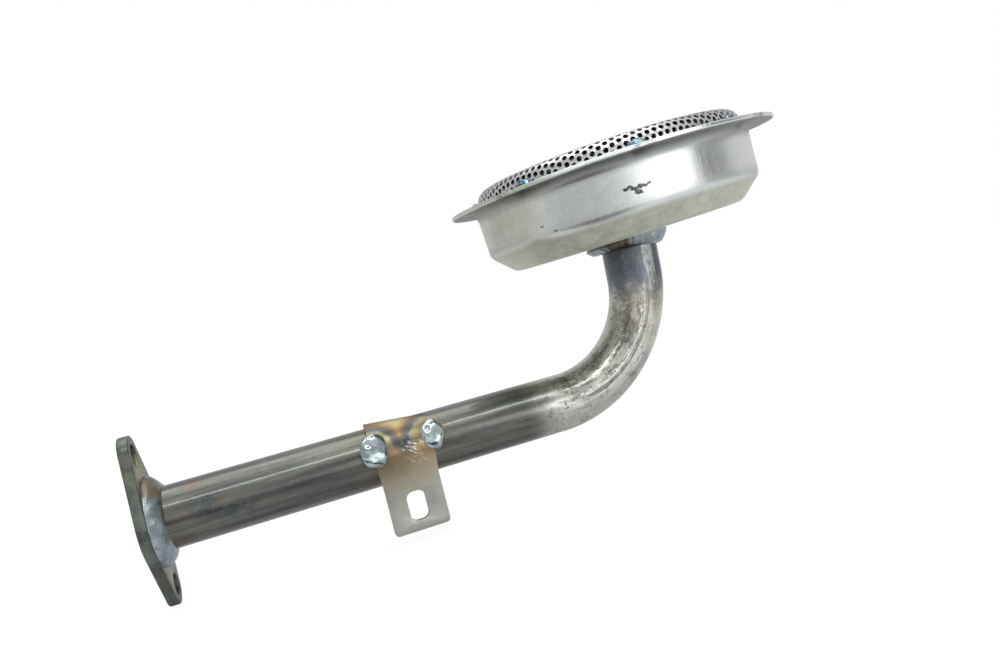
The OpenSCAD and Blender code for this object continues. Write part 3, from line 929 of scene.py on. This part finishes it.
class PICKUP_OT_bracket(bpy.types.Operator):
    """Strap over the tube with a slotted tab"""
    bl_idname = "pickup.bracket"
    bl_label = "Bracket"

    def execute(self, context):
        s = sizes()
        radius = s.tube_r + SLIP_FIT
        line = []
        for i in range(STRAP_STEPS + 1):
            angle = s.strap_wrap * (1 - i / STRAP_STEPS)
            line.append((-radius * math.cos(angle), radius * math.sin(angle)))
        line += [(-radius, -drop) for drop in (*TAB_ROWS, s.tab_drop)]
        strap = draw_line("bracket_strap", line)
        select_mesh()
        extrude((0, s.strap_width, 0))
        object_mode()
        apply_place(strap, Matrix.Translation((s.bracket_at - s.strap_width / 2, 0, 0)) @ SWAP_XY)
        for point in strap.data.vertices:
            share = min(max(-point.co.z / s.tab_taper, 0), 1)
            width = 1 + share * (s.tab_width / s.strap_width - 1)
            point.co.x = s.bracket_at + (point.co.x - s.bracket_at) * width
            off = (point.co.x - s.bracket_at) / (s.strap_width / 2)
            if point.co.z > 0:
                angle = math.atan2(point.co.z, -point.co.y)
                bent = angle * (1 - STRAP_SLANT * off)
                lift = STRAP_LIFT * max(-off, 0) * max(angle / s.strap_wrap - 0.4, 0)
                point.co.y, point.co.z = -(radius + lift) * math.cos(bent), (radius + lift) * math.sin(bent)
        self.face_out(strap)
        modify(strap, "SOLIDIFY", thickness=s.strip, offset=1, use_even_offset=True)
        edit_mode()
        mesh = bmesh.from_edit_mesh(strap.data)
        for edge in mesh.edges:
            low = all(v.co.z < -s.tab_drop + 0.1 * MM for v in edge.verts)
            edge.select_set(low and abs(edge.verts[0].co.x - edge.verts[1].co.x) < 0.1 * MM)
        bmesh.update_edit_mesh(strap.data)
        bpy.ops.mesh.bevel(offset=s.tab_corner, segments=6, affect="EDGES")
        clean_up()
        object_mode()
        cut(strap, self.slot_cutter())
        bevel(strap, BRACKET_EDGE, 2, 40)
        self.mark_slot(strap)
        finish_piece(strap, ["support_bracket"], bracket_finish())
        return {"FINISHED"}

    def mark_slot(self, strap):
        """Stores which faces are the sheared wall of the slot."""
        s = sizes()
        attribute = strap.data.attributes.new("sheared", "FLOAT", "FACE")
        for face, value in zip(strap.data.polygons, attribute.data):
            near = (abs(face.center.x - s.bracket_at) < 0.6 * s.slot_width
                    and abs(face.center.z + s.slot_drop) < 0.6 * s.slot_length)
            value.value = 1.0 if near and abs(face.normal.y) < 0.4 else 0.0

    def face_out(self, strap):
        """Turns the sheet's faces away from the tube."""
        edit_mode()
        mesh = bmesh.from_edit_mesh(strap.data)
        bmesh.ops.recalc_face_normals(mesh, faces=mesh.faces)
        mesh.faces.ensure_lookup_table()
        lowest = min(mesh.faces, key=lambda face: face.calc_center_median().z)
        if lowest.normal.y > 0:
            bmesh.ops.reverse_faces(mesh, faces=mesh.faces)
        bmesh.update_edit_mesh(strap.data)
        object_mode()

    def slot_cutter(self):
        """Block with rounded corners that cuts the slot."""
        s = sizes()
        deselect()
        bpy.ops.mesh.primitive_cube_add(size=1)
        cutter = made("slot_cutter")
        cutter.scale = (s.slot_width, 12 * MM, s.slot_length)
        apply_place(cutter, Matrix.Translation((s.bracket_at, -s.tube_r, -s.slot_drop)))
        edit_mode()
        mesh = bmesh.from_edit_mesh(cutter.data)
        for edge in mesh.edges:
            edge.select_set(abs(edge.verts[0].co.y - edge.verts[1].co.y) > MM)
        bmesh.update_edit_mesh(cutter.data)
        bpy.ops.mesh.bevel(offset=s.slot_corner, segments=10, affect="EDGES")
        clean_up()
        object_mode()
        return cutter


class PICKUP_OT_nuggets(bpy.types.Operator):
    """Shiny weld nuggets on both edges of the strap"""
    bl_idname = "pickup.nuggets"
    bl_label = "Nuggets"

    def execute(self, context):
        material = nugget_finish()
        for side, node, seed in ((-1, "bracket_weld_left", 2), (1, "bracket_weld_right", 7)):
            nugget = self.nugget(side, seed)
            finish_piece(nugget, [node], material, 70)
        return {"FINISHED"}

    def nugget(self, side, seed):
        """Lumpy cap with a small crater."""
        s = sizes()
        deselect()
        bpy.ops.mesh.primitive_uv_sphere_add(segments=48, ring_count=28, radius=1)
        nugget = made("strap_nugget_left" if side < 0 else "strap_nugget_right")
        size = s.nugget_r * (1.0 if side < 0 else 0.9)
        for point in nugget.data.vertices:
            spot = point.co.copy()
            swell = 1 + 0.12 * lumps(spot, 1.1, seed) + 0.07 * lumps(spot, 0.5, seed + 1)
            crater = (spot - Vector((-0.35, 0.45, 0.85)).normalized()).length
            swell -= 0.18 * math.exp(-(crater / 0.2) ** 2) - 0.05 * math.exp(-((crater - 0.36) / 0.12) ** 2)
            height = (s.nugget_rise + 0.2 * MM) / size * 1.15
            point.co = Vector((spot.x * 0.9, spot.y * 1.12, spot.z * height)) * swell * size
        out = nugget_centre(side)
        up = Vector((0, out.y, out.z)).normalized()
        along = Vector((1, 0, 0))
        turn = Matrix((along, up.cross(along), up)).transposed().to_4x4()
        sink = Matrix.Translation(out - up * NUGGET_SINK + along * (0.6 - side * 0.2) * MM)
        apply_place(nugget, sink @ turn)
        return nugget


def mark_inside(piece, mouth, roof=False):
    """Stores which faces look into the cup: inwards, up from below its mouth, or down from a roof."""
    attribute = piece.data.attributes.new("inside", "FLOAT", "FACE")
    for face, value in zip(piece.data.polygons, attribute.data):
        out = Vector((face.center.x, face.center.y, 0)).normalized()
        inwards = face.normal.dot(out) < -0.5
        facing = face.normal.z > 0.5 if face.center.z < mouth else roof and face.normal.z < -0.5
        value.value = 1.0 if inwards or facing else 0.0


def cup_section():
    """Section of the cup: along its outside from the base to the brim, and back along its inside."""
    s = sizes()
    hole = s.tube_r + CUP_FIT
    foot = Vector((0, 0))
    base = Vector((s.cup_base_r, 0))
    low = Vector((s.cup_low_r, s.chamfer))
    neck = Vector((s.cup_top_r, s.cup_depth - s.cup_sheet))
    under = Vector((s.brim_r, s.cup_depth - s.cup_sheet))
    top = Vector((s.brim_r, s.cup_depth))
    inner_base = inset(base, foot, low, s.cup_sheet)
    inner_low = inset(low, base, neck, s.cup_sheet)
    mouth = inner_low + (neck - low) * ((s.cup_depth - inner_low.y) / (neck.y - low.y))
    return rounded(
        [(hole, 0), base, low, neck, under, top, mouth, inner_low, inner_base, (hole, s.cup_sheet)],
        [s.cup_edge, s.cup_edge, s.brim_fillet, BRIM_EDGE, BRIM_EDGE, s.brim_fillet + s.cup_sheet,
         s.cup_edge - s.cup_sheet, s.cup_edge - s.cup_sheet])


class PICKUP_OT_cup(bpy.types.Operator):
    """Pressed cup with a chamfered base and a turned-out brim"""
    bl_idname = "pickup.cup"
    bl_label = "Cup"

    def execute(self, context):
        s = sizes()
        cup = turn_section("pressed_cup", [tuple(p) for p in cup_section()], CUP_STEPS)
        for point in cup.data.vertices:
            out = math.hypot(point.co.x, point.co.y)
            around = math.atan2(point.co.y, point.co.x)
            brim = min(max((out - s.cup_top_r - 1 * MM) / (5 * MM), 0), 1)
            point.co.z += brim * BRIM_WAVE * math.sin(3 * around + 0.6)
        mark_inside(cup, s.cup_depth - s.brim_fillet)
        apply_place(cup, cup_frame())
        finish_piece(cup, ["pickup_cup"], sheet_finish("pressed cup", True))
        return {"FINISHED"}


class PICKUP_OT_cup_weld(bpy.types.Operator):
    """Lumpy weld bead between cup and neck"""
    bl_idname = "pickup.cup_weld"
    bl_label = "Cup weld"

    def execute(self, context):
        s = sizes()
        inner = s.tube_r + WELD_FIT
        rise = math.tan(math.pi / 2 - s.bend_angle + s.cup_tilt)
        section = [(r, -z) for r, z in bead_section(inner, s.weld_leg)]
        bead = turn_section("cup_bead", section, CUP_BEAD_STEPS)
        for point in bead.data.vertices:
            around = math.atan2(point.co.y, point.co.x)
            ripple = 0.35 * math.sin(34 * around + 3 * lumps(point.co, 6 * MM, 1))
            swell = ripple + 0.9 * lumps(point.co, 5 * MM, 4) + 0.5 * lumps(point.co, 1.8 * MM, 6)
            swell += 3.4 * max(-math.cos(around), 0) ** 2
            swell_bead(point, inner, -1, swell, 0.42 * MM, 0.3 * MM)
            seat = rise * point.co.x + math.tan(s.cup_lean) * point.co.y
            point.co.z += seat * min(max(1 + point.co.z / s.weld_leg, 0), 1) - WELD_FIT
        apply_place(bead, neck_frame(s.neck))
        # Painted shade: the bead's left front laid dark olive-brown, where it lies in shade
        finish = bead_finish("cup bead", 0.4, scaled(colours().brown, 0.4),
                             (163 * MM, -10 * MM, 47 * MM), 7 * MM)
        finish_piece(bead, ["cup_weld"], finish, 60)
        return {"FINISHED"}


class PICKUP_OT_screen(bpy.types.Operator):
    """Domed screen with staggered round holes"""
    bl_idname = "pickup.screen"
    bl_label = "Screen"

    def execute(self, context):
        s = sizes()
        sheet = self.cell("perforated_screen")
        row = s.hole_pitch * math.sin(math.pi / 3)
        reach = self.flat_reach()
        columns = 2 * math.ceil(reach / s.hole_pitch) + 2
        rows = 2 * math.ceil(reach / row) + 2
        apply_place(sheet, Matrix.Translation((-columns / 2 * s.hole_pitch, -rows / 2 * row, 0)))
        for count, pace in ((columns, (s.hole_pitch, 0, 0)), (rows // 2, (0, 2 * row, 0))):
            modify(sheet, "ARRAY", count=count, use_relative_offset=False, use_constant_offset=True,
                   constant_offset_displace=pace, use_merge_vertices=True, merge_threshold=CELL_DOUBLES)
        self.trim(sheet, reach)
        for point in sheet.data.vertices:
            flat = math.hypot(point.co.x, point.co.y)
            out, height = self.dome(flat)
            if flat > 0:
                point.co.x *= out / flat
                point.co.y *= out / flat
            point.co.z = height
        modify(sheet, "SOLIDIFY", thickness=s.screen_sheet, offset=-1, use_even_offset=False)
        mark_inside(sheet, 0, roof=True)
        apply_place(sheet, cup_frame() @ Matrix.Translation((0, 0, s.cup_depth)))
        finish_piece(sheet, ["screen"], sheet_finish("screen sheet", False), 45)
        return {"FINISHED"}

    def cell(self, name):
        """Two neighbouring hexagonal cells of sheet, each around one hole."""
        s = sizes()
        row = s.hole_pitch * math.sin(math.pi / 3)
        cells = []
        for place in ((0, 0), (s.hole_pitch / 2, row)):
            deselect()
            bpy.ops.mesh.primitive_circle_add(vertices=12, radius=s.hole_r)
            cell = made(name)
            edit_mode()
            select_mesh()
            bpy.ops.mesh.extrude_region_move()
            mesh = bmesh.from_edit_mesh(cell.data)
            for point in mesh.verts:
                if point.select:
                    angle = math.atan2(point.co.y, point.co.x)
                    side = (angle + math.pi / 6) % (math.pi / 3) - math.pi / 6
                    edge = s.hole_pitch / 2 / math.cos(side)
                    point.co = Vector((edge * math.cos(angle), edge * math.sin(angle), 0))
            bmesh.update_edit_mesh(cell.data)
            object_mode()
            apply_place(cell, Matrix.Translation((place[0], place[1], 0)))
            cells.append(cell)
        sheet = join(name, cells)
        edit_mode()
        merge(CELL_DOUBLES)
        mesh = bmesh.from_edit_mesh(sheet.data)
        for face in mesh.faces:
            face.normal_update()
            if face.normal.z < 0:
                face.normal_flip()
        bmesh.update_edit_mesh(sheet.data)
        object_mode()
        return sheet

    def arcs(self):
        """Radius of the dome's edge, radius and half angle of its ball, lengths along dome and shoulder."""
        s = sizes()
        flat = s.screen_r - s.shoulder_r
        ball = (flat ** 2 + s.dome_rise ** 2) / (2 * s.dome_rise)
        lean = math.asin(flat / ball)
        return flat, ball, lean, ball * lean, s.shoulder_r * (math.pi / 2 - lean)

    def flat_reach(self):
        """Radius of the flat sheet from which the screen is pressed."""
        s = sizes()
        dome, shoulder = self.arcs()[3:]
        return dome + shoulder + s.screen_side + s.skirt

    def dome(self, flat):
        """Radius and height on the screen for a distance from the middle of the flat sheet."""
        s = sizes()
        centre, ball, lean, dome, shoulder = self.arcs()
        top = s.screen_side + s.shoulder_r
        if flat <= dome:
            angle = flat / ball
            return ball * math.sin(angle), top + s.dome_rise - ball * (1 - math.cos(angle))
        if flat <= dome + shoulder:
            angle = lean + (flat - dome) / s.shoulder_r
            drop = s.shoulder_r * (math.cos(angle) - math.cos(lean))
            return centre + s.shoulder_r * (math.sin(angle) - math.sin(lean)), top + drop
        last = centre + s.shoulder_r * (1 - math.sin(lean))
        return last, top - s.shoulder_r * math.cos(lean) - (flat - dome - shoulder)

    def trim(self, sheet, reach):
        """Cuts the sheet to a disc with a clean edge."""
        edit_mode()
        mesh = bmesh.from_edit_mesh(sheet.data)
        outside = [f for f in mesh.faces if all(v.co.length > reach for v in f.verts)]
        bmesh.ops.delete(mesh, geom=outside, context="FACES")
        for point in mesh.verts:
            if point.co.length > reach:
                point.co = point.co.normalized() * reach
        bmesh.ops.dissolve_degenerate(mesh, dist=DOUBLES, edges=mesh.edges)
        bmesh.update_edit_mesh(sheet.data)
        object_mode()


class PICKUP_OT_tacks(bpy.types.Operator):
    """Tack welds between screen and cup"""
    bl_idname = "pickup.tacks"
    bl_label = "Tack welds"

    def execute(self, context):
        s = sizes()
        tacks = []
        for i in range(s.tack_count):
            deselect()
            bpy.ops.mesh.primitive_uv_sphere_add(segments=28, ring_count=16, radius=1)
            tack = made("screen_tack")
            for point in tack.data.vertices:
                spot = point.co.copy()
                swell = 1 + 0.22 * lumps(spot, 0.8, 11 + i) + 0.08 * lumps(spot, 0.3, 5 + i)
                point.co = spot * Vector(TACK_SIZE) * swell
            turn = Matrix.Rotation(-math.pi / 2 + s.tack_turn + i * 2 * math.pi / s.tack_count, 4, "Z")
            apply_place(tack, turn @ Matrix.Translation((s.screen_r + TACK_OUT, 0, s.cup_depth + TACK_UP)))
            tacks.append(tack)
        group = join("screen_tack_welds", tacks)
        apply_place(group, cup_frame())
        finish_piece(group, ["screen_tacks"], tack_finish(), 70)
        return {"FINISHED"}


# Lamps: name, place, point they face, width and height in metres, power in watts
LAMPS = (
    ("strip", (0.12, -0.64, 0.84), (0.06, 0, 0.0), (0.9, 0.07), 2.8),
    ("window", (0.54, -0.87, 0.14), (0.15, 0, 0.05), (0.52, 0.3), 1.0),
    ("haze", (0.22, -1.0, 0.1), (0.15, 0, 0.05), (0.5, 0.34), 0.36),
    ("front", (-0.4, -1.05, 0.08), (0.15, 0, 0.05), (1.5, 0.36), 1.15),
    ("top", (0.1, 0.15, 1.0), (0.1, 0, 0.03), (0.9, 0.7), 4.5),
)
# Light of the white room on the object, in its reflections, and as the camera sees it
ROOM_LIGHT, ROOM_MIRRORED, ROOM_SEEN = 0.5, 0.72, 1.0
# Glow of the floor for the camera, and its share against the shaded floor, which keeps the shadow
FLOOR_GLOW, FLOOR_SHARE = 1.15, 0.78
# Dark cards: name, place, turn, size in metres, and for a fade two places in Y and the shade at the second
CARDS = (
    ("dark_card", (-0.09, -0.3, CAD_BOX[0][2] + FLOOR_GAP), (0, 0, 0), (0.42, 0.44), None),
    ("side_card", (0.96, -0.48, 0.12), (math.pi / 2, 0, math.radians(61)), (0.62, 0.4), (-0.66, -0.2, 0.7)),
)
CARD_SHADE = 0.05
# Camera fitted to the photo: place in metres, turn in radians, lens and sensor width in millimetres
CAMERA_PLACE, CAMERA_TURN = (0.052240, -0.251513, 0.039093), (1.526019, 0.245582, -0.270568)
CAMERA_LENS, CAMERA_SENSOR = 28.2861, 36


class PICKUP_OT_stage(bpy.types.Operator):
    """White floor and surroundings, soft lights and the camera"""
    bl_idname = "pickup.stage"
    bl_label = "Stage"

    def execute(self, context):
        scene = context.scene
        scene.view_settings.view_transform = "Standard"
        self.surroundings(scene)
        self.floor()
        for card in CARDS:
            self.card(*card)
        for lamp in LAMPS:
            self.lamp(*lamp)
        self.camera(scene)
        return {"FINISHED"}

    def surroundings(self, scene):
        """White room, dimmer for the object than for the camera."""
        world = bpy.data.worlds.new("white room")
        scene.world = world
        world.use_nodes = True
        nodes, links = world.node_tree.nodes, world.node_tree.links
        nodes.clear()
        rays = nodes.new("ShaderNodeLightPath")

        def light(colour, strength):
            node = nodes.new("ShaderNodeBackground")
            node.inputs["Color"].default_value = colour
            node.inputs["Strength"].default_value = strength
            return node.outputs[0]

        def chosen(ray, otherwise, shown):
            node = nodes.new("ShaderNodeMixShader")
            for socket, link in zip(node.inputs, (rays.outputs[ray], otherwise, shown)):
                links.new(link, socket)
            return node.outputs[0]

        room = chosen("Is Glossy Ray", light((0.97, 0.98, 1.0, 1), ROOM_LIGHT),
                      light((1, 1, 1, 1), ROOM_MIRRORED))
        room = chosen("Is Camera Ray", room, light((1, 1, 1, 1), ROOM_SEEN))
        links.new(room, nodes.new("ShaderNodeOutputWorld").inputs["Surface"])

    def floor(self):
        """White floor that keeps a faint shadow."""
        deselect()
        bpy.ops.mesh.primitive_plane_add(size=6, location=(0.1, 0, CAD_BOX[0][2] - FLOOR_GAP))
        floor = made("floor")
        apply_place(floor)
        material = bpy.data.materials.new("white floor")
        material.use_nodes = True
        nodes, links = material.node_tree.nodes, material.node_tree.links
        shader = nodes["Principled BSDF"]
        shader.inputs["Base Color"].default_value = (0.9, 0.9, 0.9, 1)
        shader.inputs["Roughness"].default_value = 0.8
        rays = nodes.new("ShaderNodeLightPath")
        glow = nodes.new("ShaderNodeEmission")
        glow.inputs["Color"].default_value = (1, 1, 1, 1)
        glow.inputs["Strength"].default_value = FLOOR_GLOW
        share = nodes.new("ShaderNodeMath")
        share.operation = "MULTIPLY"
        share.inputs[1].default_value = FLOOR_SHARE
        links.new(rays.outputs["Is Camera Ray"], share.inputs[0])
        mix = nodes.new("ShaderNodeMixShader")
        for node, socket in zip((share, shader, glow), mix.inputs):
            links.new(node.outputs[0], socket)
        links.new(mix.outputs[0], nodes["Material Output"].inputs["Surface"])
        floor.data.materials.append(material)

    def card(self, name, place, turn, size, fade):
        """Dark card that only reflections see."""
        deselect()
        bpy.ops.mesh.primitive_plane_add(size=1, location=place, rotation=turn)
        card = made(name)
        card.scale = (*size, 1)
        apply_place(card)
        material = bpy.data.materials.new(name)
        material.use_nodes = True
        nodes, links = material.node_tree.nodes, material.node_tree.links
        shader = nodes["Principled BSDF"]
        shader.inputs["Base Color"].default_value = (CARD_SHADE, CARD_SHADE, CARD_SHADE, 1)
        shader.inputs["Roughness"].default_value = 0.9
        if fade:
            start, end, pale = fade
            split = nodes.new("ShaderNodeSeparateXYZ")
            ramp = nodes.new("ShaderNodeMapRange")
            for socket, value in (("From Min", start), ("From Max", end),
                                  ("To Min", CARD_SHADE), ("To Max", pale)):
                ramp.inputs[socket].default_value = value
            links.new(nodes.new("ShaderNodeTexCoord").outputs["Object"], split.inputs["Vector"])
            links.new(split.outputs["Y"], ramp.inputs["Value"])
            links.new(ramp.outputs["Result"], shader.inputs["Base Color"])
        card.data.materials.append(material)
        card.visible_camera = False
        card.visible_shadow = False

    def lamp(self, name, place, aim, size, power):
        deselect()
        way = Vector(aim) - Vector(place)
        bpy.ops.object.light_add(type="AREA", location=place,
                                 rotation=way.to_track_quat("-Z", "Y").to_euler())
        lamp = bpy.context.object
        lamp.name = name
        lamp.data.shape = "RECTANGLE"
        lamp.data.size, lamp.data.size_y = size
        lamp.data.energy = power
        lamp.visible_camera = False

    def camera(self, scene):
        deselect()
        bpy.ops.object.camera_add(location=CAMERA_PLACE, rotation=CAMERA_TURN)
        camera = bpy.context.object
        camera.name = "photo_view"
        camera.data.sensor_width = CAMERA_SENSOR
        camera.data.lens = CAMERA_LENS
        camera.data.clip_start = 0.01
        scene.camera = camera


class VIEW3D_PT_pickup(bpy.types.Panel):
    """Lists the pieces of the pickup and their sizes and colours"""
    bl_label = "Oil pickup tube"
    bl_space_type = "VIEW_3D"
    bl_region_type = "UI"
    bl_category = "Pickup"

    def draw(self, context):
        for operator in PIECES:
            self.layout.operator(operator.bl_idname)
        for group in (context.scene.pickup_sizes, context.scene.pickup_colours):
            box = self.layout.box()
            for name in group.bl_rna.properties.keys():
                if name not in ("rna_type", "name"):
                    box.prop(group, name)


PIECES = (
    PICKUP_OT_flange, PICKUP_OT_tube, PICKUP_OT_flange_weld, PICKUP_OT_bracket, PICKUP_OT_nuggets,
    PICKUP_OT_cup, PICKUP_OT_cup_weld, PICKUP_OT_screen, PICKUP_OT_tacks, PICKUP_OT_stage,
)
CLASSES = (PickupSizes, PickupColours, *PIECES, VIEW3D_PT_pickup)


def register():
    for item in CLASSES:
        bpy.utils.register_class(item)
    bpy.types.Scene.pickup_sizes = PointerProperty(type=PickupSizes)
    bpy.types.Scene.pickup_colours = PointerProperty(type=PickupColours)


def unregister():
    del bpy.types.Scene.pickup_colours
    del bpy.types.Scene.pickup_sizes
    for item in reversed(CLASSES):
        bpy.utils.unregister_class(item)


def main():
    register()
    bpy.ops.pickup.flange()
    bpy.ops.pickup.tube()
    bpy.ops.pickup.flange_weld()
    bpy.ops.pickup.bracket()
    bpy.ops.pickup.nuggets()
    bpy.ops.pickup.cup()
    bpy.ops.pickup.cup_weld()
    bpy.ops.pickup.screen()
    bpy.ops.pickup.tacks()
    bpy.ops.pickup.stage()


if __name__ == "__main__":
    main()
